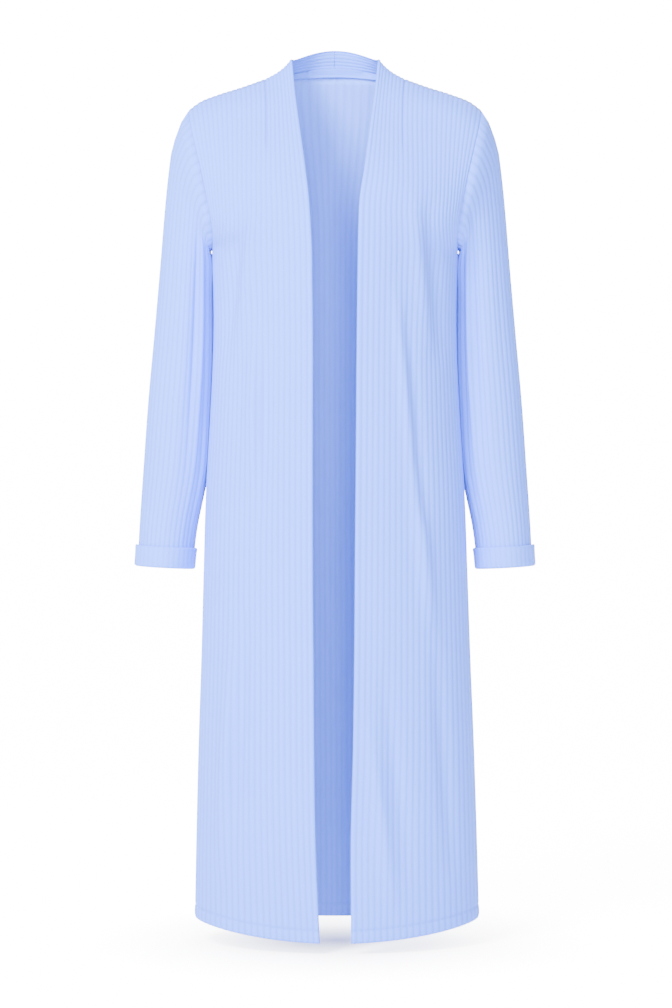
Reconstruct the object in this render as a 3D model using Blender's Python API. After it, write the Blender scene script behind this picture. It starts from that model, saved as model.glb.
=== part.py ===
"""Long open-front cardigan in wide-rib jersey, worn shape, as hollow cloth solids.

Metres, +Z up. The garment faces -Y and +X is the wearer's left. The origin lies midway
between the two shoulder points where the shoulder seams meet the collar.
"""
import bpy
import numpy as np

# Cloth and seams
WALL = 0.0016
HEM_EXTRA = 0.0009
RIB_HEIGHT = 0.0008
SEAM_HALF_GAP = 0.00015
SLEEVE_GAP = 0.00030
CALM_ROUNDS = 2
LONGEST_MITRE = 1.6

# Ribs: two columns of points carry one rib, and the plain inside takes every fourth column
FRONT_COLUMNS = 48
COLLAR_COLUMNS = 16
BACK_HALF_COLUMNS = 56
BACK_NECK_COLUMNS = 24
SLEEVE_COLUMNS = 72
PLAIN_STEP = 4
COLLAR_STATIONS = 6

# Length and hem
HEM_Z = -1.104
HEM_SIDE_RISE = 0.018
HEM_FADE = 0.35
HEM_DEPTH = 0.0170
HEM_STEP = 0.0012
ARMPIT_Z = -0.220
BODY_ROWS_Z = (-0.860, -0.640, -0.440, -0.310, ARMPIT_Z)

# Height, half width, depth in front, depth behind, sideways drift of the middle
TORSO = (
    (-1.104, 0.184, 0.120, 0.118, 0.0026),
    (-0.900, 0.1794, 0.118, 0.116, 0.0018),
    (-0.700, 0.1725, 0.115, 0.113, 0.0010),
    (-0.550, 0.1680, 0.112, 0.110, 0.0004),
    (-0.400, 0.1595, 0.108, 0.098, 0.0),
    (-0.330, 0.1570, 0.107, 0.094, 0.0),
    (-0.250, 0.1580, 0.110, 0.097, 0.0),
    (-0.220, 0.1590, 0.111, 0.098, 0.0),
)
WAIST_FRONT_ARC = 0.176
WAIST_BACK_ARC = 0.198

# Height, then how far the right and the left opening edge stand from the middle
OPENING = (
    (-1.104, 0.0189, 0.0202),
    (-1.025, 0.0227, 0.0189),
    (-0.924, 0.0252, 0.0214),
    (-0.773, 0.0265, 0.0239),
    (-0.622, 0.0277, 0.0252),
    (-0.470, 0.0277, 0.0265),
    (-0.319, 0.0277, 0.0277),
    (-0.220, 0.0290, 0.0290),
)

# Share of the way from armpit to shoulder, x of the right and the left edge, y, z
EDGE_ABOVE = (
    (0.08, 0.0302, 0.0296, -0.1078, -0.1975),
    (0.17, 0.0316, 0.0303, -0.1040, -0.1720),
    (0.34, 0.0363, 0.0363, -0.0920, -0.1280),
    (0.51, 0.0420, 0.0420, -0.0740, -0.0860),
    (0.68, 0.0475, 0.0472, -0.0520, -0.0480),
    (0.84, 0.0520, 0.0520, -0.0280, -0.0120),
    (1.00, 0.0560, 0.0570, 0.0000, 0.0275),
)

# Share of the way, x, y of the front armhole, y of the back armhole, z
ARMHOLE_ABOVE = (
    (0.08, 0.1574, -0.0210, 0.0235, -0.2150),
    (0.17, 0.1570, -0.0400, 0.0440, -0.2030),
    (0.34, 0.1632, -0.0530, 0.0600, -0.1650),
    (0.51, 0.1715, -0.0530, 0.0610, -0.1260),
    (0.68, 0.1800, -0.0440, 0.0520, -0.0910),
    (0.84, 0.1872, -0.0260, 0.0320, -0.0600),
    (1.00, 0.1910, 0.0, 0.0, -0.0405),
)

# Share of the way, y and z of the centre back
CENTRE_BACK_ABOVE = (
    (0.08, 0.0998, -0.2005),
    (0.17, 0.1010, -0.1780),
    (0.34, 0.0985, -0.1380),
    (0.51, 0.0930, -0.0980),
    (0.68, 0.0855, -0.0600),
    (0.84, 0.0770, -0.0240),
    (1.00, 0.0680, 0.0125),
)
RISE_ROWS = (0.08, 0.17, 0.34, 0.51, 0.68, 0.84, 1.0)
SHOULDER_CROWN = (0.0, 0.0, 0.001, 0.003, 0.007, 0.010, 0.0)

# Shoulder seam: share of its run, x, z
SHOULDER = (
    (0.0, 0.0910, 0.0010),
    (0.3, 0.1210, -0.0097),
    (0.6, 0.1520, -0.0195),
    (0.85, 0.1770, -0.0298),
    (1.0, 0.1910, -0.0405),
)

# Collar: half width and depth behind at its foot and its top, heights at side and back
COLLAR_FOOT = (0.0910, 0.0680, 0.0010, 0.0125)
COLLAR_TOP = (0.0560, 0.0600, 0.0275, 0.0480)
COLLAR_HOLLOW = 0.0030
DART_DEPTH = 0.0012
TAPE_WIDTH = 0.0130
TAPE_THICK = 0.0010
TAPE_CLEAR = 0.0006

# Sleeve rings: x and z of the outer line, x and z of the inner line, half depth,
# y of the middle, share of the armhole's own shape that is left
SLEEVE_RINGS = (
    (0.1910, -0.0405, 0.1590, -0.2200, 0.0560, 0.003, 1.00),
    (0.1965, -0.0460, 0.1645, -0.2205, 0.0565, 0.005, 0.85),
    (0.2045, -0.0640, 0.1660, -0.2245, 0.0565, 0.012, 0.60),
    (0.2125, -0.0870, 0.1635, -0.2330, 0.0560, 0.020, 0.35),
    (0.2180, -0.1250, 0.1605, -0.2490, 0.0545, 0.026, 0.15),
    (0.2225, -0.1680, 0.1590, -0.2720, 0.0530, 0.030, 0.04),
    (0.2275, -0.2280, 0.1580, -0.3020, 0.0520, 0.032, 0.0),
    (0.2350, -0.3150, 0.1575, -0.3500, 0.0510, 0.032, 0.0),
    (0.2435, -0.4100, 0.1600, -0.4250, 0.0500, 0.030, 0.0),
    (0.2500, -0.5050, 0.1665, -0.5110, 0.0490, 0.025, 0.0),
    (0.2548, -0.5820, 0.1810, -0.5860, 0.0490, 0.020, 0.0),
    (0.2570, -0.6285, 0.1865, -0.6325, 0.0490, 0.018, 0.0),
)

# Cuff section: how far outside the sleeve's wall, how far above the sleeve's end
CUFF_SECTION = (
    (0.0013, 0.0240),
    (0.0039, 0.0238),
    (0.0042, 0.0000),
    (0.0028, -0.0027),
    (-0.0016, -0.0030),
    (-0.0016, -0.0004),
    (0.0013, -0.0004),
)

# Soft folds: side, share from edge to side seam, height, half width of both, depth
FRONT_FOLDS = (
    (1, 0.34, -0.330, 0.07, 0.20, 0.0035),
    (1, 0.46, -0.540, 0.07, 0.20, 0.0030),
    (1, 0.20, -0.900, 0.06, 0.20, 0.0035),
    (1, 0.72, -0.260, 0.10, 0.10, -0.0030),
    (-1, 0.72, -0.260, 0.10, 0.10, -0.0030),
    (-1, 0.45, -0.400, 0.08, 0.16, 0.0030),
    (-1, 0.52, -0.880, 0.09, 0.20, 0.0035),
)

CLOTH_BLUE = (0.52, 0.66, 0.93, 1.0)
INSIDE_BLUE = (0.42, 0.56, 0.86, 1.0)


def spline(table, at):
    """Read a smooth curve through the rows of a table at the keys in at."""
    rows = np.array(sorted(table), dtype=float)
    keys, values = rows[:, 0], rows[:, 1:]
    slopes = np.gradient(values, keys, axis=0)
    at = np.clip(np.atleast_1d(np.asarray(at, dtype=float)), keys[0], keys[-1])
    low = np.clip(np.searchsorted(keys, at) - 1, 0, len(keys) - 2)
    span = (keys[low + 1] - keys[low])[:, None]
    t = (at - keys[low])[:, None] / span
    rise = (1 + 2 * t) * (1 - t) ** 2 * values[low] + t * t * (3 - 2 * t) * values[low + 1]
    lean = t * (1 - t) ** 2 * slopes[low] - t * t * (1 - t) * slopes[low + 1]
    return rise + lean * span


def unit(vectors):
    """Scale vectors to length one."""
    length = np.linalg.norm(vectors, axis=-1, keepdims=True)
    return vectors / np.maximum(length, 1e-12)


def fold_depth(side, share, height):
    """Depth of the soft folds at one row of a front, zero at its edges."""
    depth = np.zeros_like(share)
    for fold_side, where, level, width, reach, size in FRONT_FOLDS:
        if fold_side == side:
            across = np.exp(-((share - where) / width) ** 2)
            along = np.exp(-((height - level) / reach) ** 2)
            depth += size * across * along
    return depth * np.clip(6 * share, 0, 1) * np.clip(6 * (1 - share), 0, 1)


def body_row(side, z, columns, waist_arc, edge):
    """One row below the armpit, from the opening edge or the centre back to the side seam.

    edge is the distance of the opening edge from the middle, or None for the back.
    """
    half, front, back, drift = spline(TORSO, z)[0]
    depth = back if edge is None else -front
    start = 0.0 if edge is None else np.arcsin((edge - side * drift) / half)
    angle = np.linspace(start, np.pi / 2, 241)
    line = np.stack([half * np.sin(angle), depth * np.cos(angle)], axis=1)
    arc = np.concatenate([[0.0], np.cumsum(np.linalg.norm(np.diff(line, axis=0), axis=1))])
    share = np.linspace(0.0, 1.0, columns + 1)
    stops = waist_arc * share + (arc[-1] - waist_arc) * share ** 2
    x = np.interp(stops, arc, line[:, 0])
    y = np.interp(stops, arc, line[:, 1])
    if edge is not None:
        y = y - fold_depth(side, share, z)
    fade = np.clip(1 - (z - HEM_Z) / HEM_FADE, 0, 1) ** 2
    lift = HEM_SIDE_RISE * (x / half) ** 2 * fade
    return np.stack([side * x + drift, y, z + lift], axis=1)


def body_levels():
    """Heights of all rows from the hem up to the armpit."""
    return (HEM_Z, HEM_Z + HEM_DEPTH, HEM_Z + HEM_DEPTH + HEM_STEP) + BODY_ROWS_Z


def rise_patch(low_row, top_row, inner_line, outer_line, columns):
    """Rows above the armpit, between two side lines, a lower row and a top row.

    Sideways and upwards the four borders are blended smoothly. Depth follows the lower
    row's own roundness and takes the top row's shape late, so chest and back stay smooth.
    """
    share = np.linspace(0.0, 1.0, columns + 1)
    low_y = low_row[:, 1]
    roundness = (low_y - low_y[-1]) / (low_y[0] - low_y[-1])
    weight = np.stack([1 - share, roundness, 1 - share], axis=1)
    rows = []
    for step, rise in enumerate(RISE_ROWS):
        across = outer_line[step] + (inner_line[step] - outer_line[step]) * weight
        low_gap = low_row - (low_row[-1] + (low_row[0] - low_row[-1]) * weight)
        top_gap = top_row - (top_row[-1] + (top_row[0] - top_row[-1]) * weight)
        fade = (1 - rise) ** 2 * (1 + 2 * rise)
        gain = np.array([1 - fade, rise ** 2.5, 1 - fade])
        row = across + fade * low_gap + gain * top_gap
        row[:, 2] += SHOULDER_CROWN[step] * np.sin(np.pi * share)
        rows.append(row)
    return np.array(rows)


def shoulder_line(side, columns):
    """Shoulder seam from the collar's foot to the top of the sleeve."""
    x, z = spline(SHOULDER, np.linspace(0.0, 1.0, columns + 1)).T
    return np.stack([side * x, np.zeros_like(x), z], axis=1)


def collar_curve(side, sizes, turn):
    """Foot or top line of the collar; turn runs from the side of the neck to the back."""
    half, depth, side_z, back_z = sizes
    bend = np.sin(turn) ** 2
    return np.stack([
        side * half * np.cos(turn), depth * np.sin(turn), side_z + (back_z - side_z) * bend,
    ], axis=1)


def collar_rows(side):
    """Collar from the side of the neck to the centre back, top edge first in each row."""
    turn = np.linspace(0.0, np.pi / 2, COLLAR_STATIONS + 1)
    foot = collar_curve(side, COLLAR_FOOT, turn)
    top = collar_curve(side, COLLAR_TOP, turn)
    share = np.linspace(0.0, 1.0, COLLAR_COLUMNS + 1)[None, :, None]
    rows = top[:, None, :] + (foot - top)[:, None, :] * share
    return rows + collar_hollow(side, turn, share)


def collar_hollow(side, turn, share):
    """Inward curve of the collar between its foot and its top."""
    inward = -np.stack([side * np.cos(turn), np.sin(turn), np.cos(turn)], axis=1)
    fade = (0.25 + 0.75 * np.cos(turn) ** 2)[:, None]
    return COLLAR_HOLLOW * np.sin(np.pi * share) * (unit(inward) * fade)[:, None, :]


def side_line(table, side, y_column):
    """Points of an edge table for the rows above the armpit."""
    rows = np.array([row for row in table if row[0] in RISE_ROWS])
    x_column = 1
    if table is EDGE_ABOVE and side > 0:
        x_column = 2
    return np.stack([side * rows[:, x_column], rows[:, y_column], rows[:, -1]], axis=1)


def front_grid(side):
    """Main rows of one front, hem to shoulder, opening edge first in each row."""
    rows = []
    for z in body_levels():
        right, left = spline(OPENING, z)[0]
        edge = left if side > 0 else right
        rows.append(body_row(side, z, FRONT_COLUMNS, WAIST_FRONT_ARC, edge))
    shoulder = shoulder_line(side, FRONT_COLUMNS - COLLAR_COLUMNS)
    top_row = np.concatenate([collar_rows(side)[0], shoulder[1:]])
    edge_line = side_line(EDGE_ABOVE, side, 3)
    edge_line[-1] = top_row[0]
    armhole = side_line(ARMHOLE_ABOVE, side, 2)
    upper = rise_patch(rows[-1], top_row, edge_line, armhole, FRONT_COLUMNS)
    return np.concatenate([np.array(rows), upper])


def back_half(side):
    """One half of the back, hem to shoulder, centre back first in each row."""
    rows = []
    for z in body_levels():
        rows.append(body_row(side, z, BACK_HALF_COLUMNS, WAIST_BACK_ARC, None))
    turn = np.linspace(np.pi / 2, 0.0, COLLAR_STATIONS + 1)
    stations = collar_curve(side, COLLAR_FOOT, turn)
    where = np.linspace(0, COLLAR_STATIONS, BACK_NECK_COLUMNS + 1)
    neck = np.stack([
        np.interp(where, np.arange(COLLAR_STATIONS + 1), stations[:, axis]) for axis in range(3)
    ], axis=1)
    shoulder = shoulder_line(side, BACK_HALF_COLUMNS - BACK_NECK_COLUMNS)
    top_row = np.concatenate([neck, shoulder[1:]])
    centre = np.array([(0.0, y, z) for _, y, z in CENTRE_BACK_ABOVE])
    armhole = side_line(ARMHOLE_ABOVE, side, 3)
    upper = rise_patch(rows[-1], top_row, centre, armhole, BACK_HALF_COLUMNS)
    return np.concatenate([np.array(rows), upper])


def back_grid():
    """Whole back, from the right side seam to the left side seam in each row."""
    right, left = back_half(-1), back_half(1)
    middle = (right[:, :1] + left[:, :1]) / 2
    return np.concatenate([right[:, :0:-1], middle, left[:, 1:]], axis=1)


def armhole_loop(side, front, back):
    """Corner points round the armhole: shoulder, down the front, armpit, up the back."""
    low = len(body_levels()) - 1
    back_side = back[:, -1] if side > 0 else back[:, 0]
    down = front[low:, -1][::-1]
    up = back_side[low + 1:]
    return np.concatenate([down, up])


def sleeve_marks(loop):
    """Sleeve columns on which the armhole's corners lie."""
    run = np.concatenate([[0.0], np.cumsum(np.linalg.norm(np.diff(loop, axis=0), axis=1))])
    return (PLAIN_STEP * np.round(SLEEVE_COLUMNS / PLAIN_STEP * run / run[-1])).astype(int)


def sleeve_grid(side, loop):
    """Sleeve rings from the armhole down, with the first column at the shoulder."""
    marks = sleeve_marks(loop)
    columns = np.arange(SLEEVE_COLUMNS + 1)
    first = np.stack([np.interp(columns, marks, loop[:, axis]) for axis in range(3)], axis=1)
    turn = 2 * np.pi * columns / SLEEVE_COLUMNS
    rings = []
    start = None
    for out_x, out_z, in_x, in_z, depth, middle, keep in SLEEVE_RINGS:
        centre = np.array([side * (out_x + in_x) / 2, middle, (out_z + in_z) / 2])
        arm = np.array([side * (out_x - in_x) / 2, 0.0, (out_z - in_z) / 2])
        ring = centre + np.cos(turn)[:, None] * arm
        ring[:, 1] -= depth * np.sin(turn)
        if start is None:
            start = ring.copy()
        rings.append(ring + keep * (first - start))
    rings = np.array(rings)
    rings[0] = first
    return rings, marks


def grid_normals(grid, outward, wrap=False):
    """Unit normals of a grid, turned to the side that outward tells."""
    if wrap:
        closed = np.concatenate([grid[:, -2:-1], grid, grid[:, 1:2]], axis=1)
        across = np.gradient(closed, axis=1)[:, 1:-1]
    else:
        across = np.gradient(grid, axis=1)
    along = np.gradient(grid, axis=0)
    return outward * unit(np.cross(across, along))


class Patch:
    """A grid of cloth points with outward directions and wall sizes."""

    def __init__(self, grid, normals, rib, wall, step):
        self.grid = grid
        self.normals = normals
        self.rib = rib
        self.wall = wall
        self.step = step
        self.shift = np.zeros_like(grid)
        self.stretch = np.ones(grid.shape[:2])

    def open_seam(self, rows, columns, toward, gap=SEAM_HALF_GAP):
        """Draw a run of border points back by this piece's share of the seam's gap."""
        points = self.grid[rows, columns]
        legs = unit(np.diff(points, axis=0))
        tangent = np.concatenate([legs[:1], legs[:-1] + legs[1:], legs[-1:]])
        away = unit(np.cross(self.normals[rows, columns], unit(tangent)))
        inner = self.grid[toward] - points
        flip = np.sign(np.sum(away * inner, axis=1, keepdims=True))
        self.shift[rows, columns] += gap * away * flip


def key_of(point):
    """Shared name of a cloth point."""
    return tuple(np.round(point * 1e6).astype(int))


def shared_places(patches):
    """Where each cloth point lies: its name, and every patch, row and column that has it."""
    places = {}
    for patch in patches:
        for row, column in np.ndindex(patch.grid.shape[:2]):
            name = key_of(patch.grid[row, column])
            places.setdefault(name, []).append((patch, row, column))
    return places


def share_normals(places):
    """Give points shared by several patches one outward direction and mitre length."""
    for spots in places.values():
        total = sum(patch.normals[row, column] for patch, row, column in spots)
        size = np.linalg.norm(total)
        for patch, row, column in spots:
            patch.stretch[row, column] = min(LONGEST_MITRE, len(spots) / size)
        for patch, row, column in spots:
            patch.normals[row, column] = total / size


def calm_seam(places, loop):
    """Even out the outward directions round a closed seam, so that its faces don't twist."""
    for _ in range(CALM_ROUNDS):
        normals = []
        for point in loop[:-1]:
            patch, row, column = places[key_of(point)][0]
            normals.append(patch.normals[row, column].copy())
        normals = np.array(normals)
        calmed = unit(np.roll(normals, 1, axis=0) + 2 * normals + np.roll(normals, -1, axis=0))
        for point, normal in zip(loop[:-1], calmed):
            for patch, row, column in places[key_of(point)]:
                patch.normals[row, column] = normal


def run_between(patch, row, marks):
    """Turn directions evenly between the corners of a seam with finer points."""
    for low, high in zip(marks[:-1], marks[1:]):
        t = np.linspace(0.0, 1.0, high - low + 1)[:, None]
        ends = patch.normals[row, low], patch.normals[row, high]
        patch.normals[row, low:high + 1] = unit((1 - t) * ends[0] + t * ends[1])
        sizes = patch.stretch[row, low], patch.stretch[row, high]
        patch.stretch[row, low:high + 1] = (1 - t[:, 0]) * sizes[0] + t[:, 0] * sizes[1]


def solid(patches, wrap=False):
    """Close the walls of one piece: ribbed outside, plain inside, and its borders."""
    points, names = [], {}

    def number(layer, key, place):
        name = (layer,) + key
        if name not in names:
            names[name] = len(points)
            points.append(place)
        return names[name]

    outer, plain = [], []
    for patch in patches:
        rows, columns = patch.grid.shape[:2]
        lift = patch.normals * (patch.rib * patch.stretch)[..., None]
        sink = patch.normals * (patch.wall * patch.stretch)[..., None]
        outside = patch.grid + patch.shift + lift
        inside = patch.grid + patch.shift - sink
        last = columns - 1
        names_out = {}
        names_in = {}
        for row in range(rows):
            for column in range(columns):
                key = key_of(patch.grid[row, column])
                names_out[row, column] = number(0, key, outside[row, column])
                if column % patch.step == 0:
                    names_in[row, column] = number(1, key, inside[row, column])
        for row in range(rows - 1):
            for column in range(last):
                outer.append((names_out[row, column], names_out[row, column + 1],
                              names_out[row + 1, column + 1], names_out[row + 1, column]))
            for column in range(0, last, patch.step):
                after = column + patch.step
                plain.append((names_in[row, column], names_in[row, after],
                              names_in[row + 1, after], names_in[row + 1, column]))
    below = {names[(0,) + name[1:]]: number_in for name, number_in in names.items() if name[0] == 1}
    faces = []
    for a, b, c, d in outer:
        faces += [(a, b, c), (a, c, d)]
    for a, b, c, d in plain:
        faces += [(c, b, a), (d, c, a)]
    edges = {(a, b) for face in outer for a, b in zip(face, face[1:] + face[:1])}
    follow = {a: b for a, b in edges if (b, a) not in edges}
    for start in [point for point in follow if point in below]:
        chain = [start, follow[start]]
        while chain[-1] not in below:
            chain.append(follow[chain[-1]])
        first, second = below[chain[0]], below[chain[-1]]
        half = (len(chain) - 1) // 2
        for step in range(len(chain) - 1):
            foot = first if step < half else second
            faces.append((chain[step + 1], chain[step], foot))
        faces.append((chain[half], first, second))
    return points, faces


def make_object(name, points, faces, colour):
    """Make one named object with its own cloth material, faces turned outwards."""
    corners = np.array(points)[np.array(faces)]
    volume = np.sum(corners[:, 0] * np.cross(corners[:, 1], corners[:, 2]))
    if volume < 0:
        faces = [face[::-1] for face in faces]
    mesh = bpy.data.meshes.new(name)
    mesh.from_pydata([tuple(point) for point in points], [], faces)
    mesh.validate()
    piece = bpy.data.objects.new(name, mesh)
    bpy.context.scene.collection.objects.link(piece)
    material = bpy.data.materials.new(name + "_cloth")
    material.use_nodes = True
    shader = material.node_tree.nodes["Principled BSDF"]
    shader.inputs["Base Color"].default_value = colour
    shader.inputs["Roughness"].default_value = 0.85
    shader.inputs["Metallic"].default_value = 0.0
    mesh.materials.append(material)
    return piece


def rib_pattern(rows, columns):
    """Rib height at each point: odd columns stand up."""
    heights = np.zeros((rows, columns))
    heights[:, 1::2] = RIB_HEIGHT
    return heights


def panel_wall(rows, columns):
    """Wall size at each point of a panel, thicker in the turned hem."""
    wall = np.full((rows, columns), WALL)
    wall[:2] += HEM_EXTRA
    return wall


def front_patches(side):
    """Main grid and collar grid of one front, with the neck dart pressed in."""
    main = front_grid(side)
    rows = main.shape[0]
    patch = Patch(main, grid_normals(main, side), rib_pattern(rows, FRONT_COLUMNS + 1),
                  panel_wall(rows, FRONT_COLUMNS + 1), PLAIN_STEP)
    dart = np.array([0.2, 0.6, 1.0, 0.8, 0.0])
    patch.rib[-6:-1, COLLAR_COLUMNS] = -DART_DEPTH * dart
    collar = collar_rows(side)
    collar_patch = Patch(collar, grid_normals(collar, side),
                         rib_pattern(COLLAR_STATIONS + 1, COLLAR_COLUMNS + 1),
                         np.full((COLLAR_STATIONS + 1, COLLAR_COLUMNS + 1), WALL), PLAIN_STEP)
    return patch, collar_patch


def open_panel_seams(front, collar, back, side):
    """Draw one front and its collar back from their neighbours."""
    low = len(body_levels()) - 1
    rows = np.arange(front.grid.shape[0])
    last = FRONT_COLUMNS
    for run in (rows[:low + 1], rows[low:]):
        front.open_seam(run, np.full(len(run), last), (run, np.full(len(run), last - 1)))
    top = rows[-1]
    run = np.arange(COLLAR_COLUMNS, last + 1)
    front.open_seam(np.full(len(run), top), run, (np.full(len(run), top - 1), run))
    stations = np.arange(COLLAR_STATIONS + 1)
    foot = np.full(len(stations), COLLAR_COLUMNS)
    collar.open_seam(stations, foot, (stations, foot - 1))
    run = np.arange(COLLAR_COLUMNS + 1)
    end = np.full(len(run), COLLAR_STATIONS)
    collar.open_seam(end, run, (end - 1, run))
    shared = front.shift[top, COLLAR_COLUMNS] + collar.shift[0, COLLAR_COLUMNS]
    front.shift[top, COLLAR_COLUMNS] = shared
    collar.shift[0, COLLAR_COLUMNS] = shared


def open_back_seams(back):
    """Draw the back away from fronts, collar and sleeves."""
    low = len(body_levels()) - 1
    rows = np.arange(back.grid.shape[0])
    last = back.grid.shape[1] - 1
    for column, inner in ((0, 1), (last, last - 1)):
        for run in (rows[:low + 1], rows[low:]):
            back.open_seam(run, np.full(len(run), column), (run, np.full(len(run), inner)))
    top = rows[-1]
    neck_start = BACK_HALF_COLUMNS - BACK_NECK_COLUMNS
    neck_end = BACK_HALF_COLUMNS + BACK_NECK_COLUMNS
    for first, final in ((0, neck_start), (neck_start, neck_end), (neck_end, last)):
        run = np.arange(first, final + 1)
        back.open_seam(np.full(len(run), top), run, (np.full(len(run), top - 1), run))


def build_cuff(side, sleeve):
    """Turned-up cuff: a ring of double cloth that also passes under the sleeve's end."""
    end, above = sleeve.grid[-1, :-1:2], sleeve.grid[-2, :-1:2]
    normals = sleeve.normals[-1, :-1:2]
    length = np.linalg.norm(above - end, axis=1, keepdims=True)
    rings = []
    for outside, height in CUFF_SECTION:
        rings.append(end + (above - end) * height / length + normals * outside)
    rings = np.array(rings)
    count, around = rings.shape[:2]
    faces = []
    for ring in range(count):
        for place in range(around):
            a = ring * around + place
            b = ring * around + (place + 1) % around
            c = (ring + 1) % count * around + (place + 1) % around
            d = (ring + 1) % count * around + place
            faces += [(a, b, c), (a, c, d)]
    return rings.reshape(-1, 3), faces


def build_tape(collars):
    """Neck tape: a thin band inside the collar, above the neck seam, side to side."""
    lines = []
    for side, order in ((-1, 1), (1, -1)):
        collar = collars[side]
        foot, top = collar.grid[:, -1], collar.grid[:, 0]
        height = np.linalg.norm(top - foot, axis=1)
        normals = collar.normals[:, COLLAR_COLUMNS - PLAIN_STEP]
        strips = []
        for rise, sink in ((0.0015, 0.0), (TAPE_WIDTH, 0.0),
                           (TAPE_WIDTH, TAPE_THICK), (0.0015, TAPE_THICK)):
            share = 1 - rise / height
            columns = share * COLLAR_COLUMNS
            low = np.floor(columns / PLAIN_STEP).astype(int) * PLAIN_STEP
            part = ((columns - low) / PLAIN_STEP)[:, None]
            index = np.arange(len(foot))
            high = np.minimum(low + PLAIN_STEP, COLLAR_COLUMNS)
            inner_low = collar.grid[index, low] - collar.normals[index, low] * WALL
            inner_high = collar.grid[index, high] - collar.normals[index, high] * WALL
            place = inner_low * (1 - part) + inner_high * part
            strips.append(place - normals * (TAPE_CLEAR + sink))
        lines.append(np.array(strips)[:, ::order])
    right, left = lines
    middle = (right[:, -1:] + left[:, :1]) / 2
    rings = np.concatenate([right[:, :-1], middle, left[:, 1:]], axis=1).transpose(1, 0, 2)
    count = rings.shape[0]
    faces = []
    for ring in range(count - 1):
        for corner in range(4):
            a = ring * 4 + corner
            b = ring * 4 + (corner + 1) % 4
            if ring < COLLAR_STATIONS:
                faces += [(a, b, a + 4), (b, b + 4, a + 4)]
            else:
                faces += [(a, b, b + 4), (a, b + 4, a + 4)]
    last = 4 * (count - 1)
    faces += [(2, 1, 0), (3, 2, 0), (last, last + 1, last + 2), (last, last + 2, last + 3)]
    return rings.reshape(-1, 3), faces


def main():
    """Build every piece of the cardigan."""
    for old in list(bpy.data.objects):
        bpy.data.objects.remove(old, do_unlink=True)

    fronts, collars, sleeves, marks = {}, {}, {}, {}
    for side in (-1, 1):
        fronts[side], collars[side] = front_patches(side)
    grid = back_grid()
    back = Patch(grid, grid_normals(grid, -1), rib_pattern(*grid.shape[:2]),
                 panel_wall(*grid.shape[:2]), PLAIN_STEP)
    for side in (-1, 1):
        loop = armhole_loop(side, fronts[side].grid, back.grid)
        rings, marks[side] = sleeve_grid(side, loop)
        count = rings.shape[0]
        sleeves[side] = Patch(rings, grid_normals(rings, side, wrap=True),
                              rib_pattern(count, SLEEVE_COLUMNS + 1),
                              np.full((count, SLEEVE_COLUMNS + 1), WALL), PLAIN_STEP)
        sleeves[side].rib[0] = 0.0

    places = shared_places([back] + list(fronts.values()) + list(collars.values())
                           + list(sleeves.values()))
    share_normals(places)
    for side in (-1, 1):
        calm_seam(places, armhole_loop(side, fronts[side].grid, back.grid))
    neck = range(BACK_HALF_COLUMNS - BACK_NECK_COLUMNS,
                 BACK_HALF_COLUMNS + BACK_NECK_COLUMNS + 1, PLAIN_STEP)
    run_between(back, -1, list(neck))
    for side in (-1, 1):
        run_between(sleeves[side], 0, list(marks[side]))
        run = np.arange(SLEEVE_COLUMNS + 1)
        sleeves[side].open_seam(np.zeros_like(run), run, (np.ones_like(run), run), SLEEVE_GAP)
        sleeves[side].shift[0, 0] = sleeves[side].shift[0, -1]
        open_panel_seams(fronts[side], collars[side], back, side)
    open_back_seams(back)

    names = {-1: "right", 1: "left"}
    make_object("back", *solid([back]), INSIDE_BLUE)
    for side in (-1, 1):
        make_object("front_" + names[side], *solid([fronts[side], collars[side]]), CLOTH_BLUE)
        make_object("sleeve_" + names[side], *solid([sleeves[side]]), CLOTH_BLUE)
        make_object("cuff_" + names[side], *build_cuff(side, sleeves[side]), CLOTH_BLUE)
    make_object("neck_tape", *build_tape(collars), CLOTH_BLUE)


main()
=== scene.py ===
"""Looks of the long open-front rib cardigan, around its packed construction.

Metres, +Z up; the garment faces -Y. Every cloth piece is a thin shell that lies on its
solid's form, with standing ribs, soft folds, seams and stitches.
"""
import logging
from dataclasses import dataclass
from enum import Enum
from typing import Dict, List, Optional, Sequence, Tuple

import bpy
import numpy as np
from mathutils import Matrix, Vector


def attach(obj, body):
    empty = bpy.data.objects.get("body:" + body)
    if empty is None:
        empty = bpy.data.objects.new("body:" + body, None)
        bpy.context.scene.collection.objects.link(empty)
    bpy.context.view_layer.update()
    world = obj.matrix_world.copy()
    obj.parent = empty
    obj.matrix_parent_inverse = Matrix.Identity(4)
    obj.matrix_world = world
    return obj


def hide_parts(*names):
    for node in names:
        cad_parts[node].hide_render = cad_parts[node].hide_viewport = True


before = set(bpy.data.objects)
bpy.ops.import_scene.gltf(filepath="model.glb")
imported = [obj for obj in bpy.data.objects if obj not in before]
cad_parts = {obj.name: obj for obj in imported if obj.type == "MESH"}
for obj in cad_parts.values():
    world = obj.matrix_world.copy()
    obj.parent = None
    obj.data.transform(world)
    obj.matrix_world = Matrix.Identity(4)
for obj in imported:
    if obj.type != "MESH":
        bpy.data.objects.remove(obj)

LOG = logging.getLogger("cardigan")
Table = Sequence[Tuple[float, ...]]
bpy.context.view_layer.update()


class Side(Enum):
    """Side of the wearer, with its sign along X."""

    RIGHT = -1
    LEFT = 1


@dataclass(frozen=True)
class Cloth:
    """Sizes of the rib jersey.

    Attributes:
        thickness: wall of the cloth under a rib.
        rib_height: how far a rib stands out of the groove beside it.
        columns_per_rib: mesh columns across one rib.
        seam_dip: how deep the cloth is drawn in along a seam.
        groove_width: half width of a groove, in ribs.
    """

    thickness: float = 0.0013
    rib_height: float = 0.00075
    columns_per_rib: int = 6
    seam_dip: float = 0.0006
    groove_width: float = 0.17


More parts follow.
